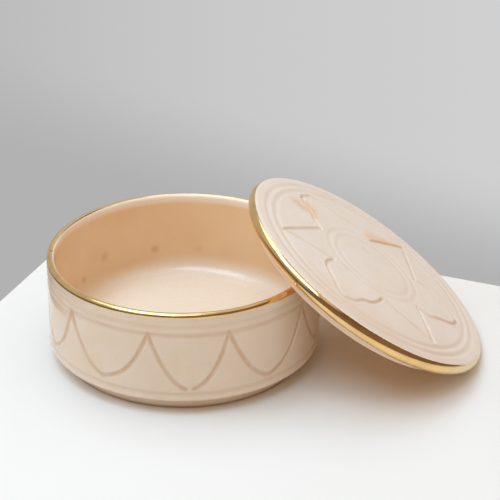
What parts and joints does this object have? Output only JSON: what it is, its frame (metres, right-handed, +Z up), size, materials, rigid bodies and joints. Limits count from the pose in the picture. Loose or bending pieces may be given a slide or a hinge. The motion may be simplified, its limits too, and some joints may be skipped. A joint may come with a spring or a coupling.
{
  "type": "lidded ceramic box",
  "caption": "Round glazed ceramic keepsake box on a foot ring, with a gilt rim and a domed lift-off lid with a gilt edge and a locating flange, the lid leaning against the box.",
  "frame": {"origin": "on the table, under the middle of the set: the box with its lid leaning against it", "axes": "+Z up, +X from the box towards the low edge of the leaning lid, +Y across"},
  "size_m": [0.2402, 0.1556, 0.0911],
  "materials": {
    "glaze": "satin cream glaze over a peach clay that shows in the carved lines",
    "gilding": "polished gold lustre"
  },
  "bodies": {
    "box": {"box_body": "glaze", "box_gilt_rim": "gilding"},
    "lid": {"lid_body": "glaze", "lid_gilt_band": "gilding"}
  },
  "joints": [
    {"name": "lid_lift", "type": "slide", "parent": "box", "child": "lid", "axis": [0, 0, 1], "range_m": [0, 0.1]}
  ]
}
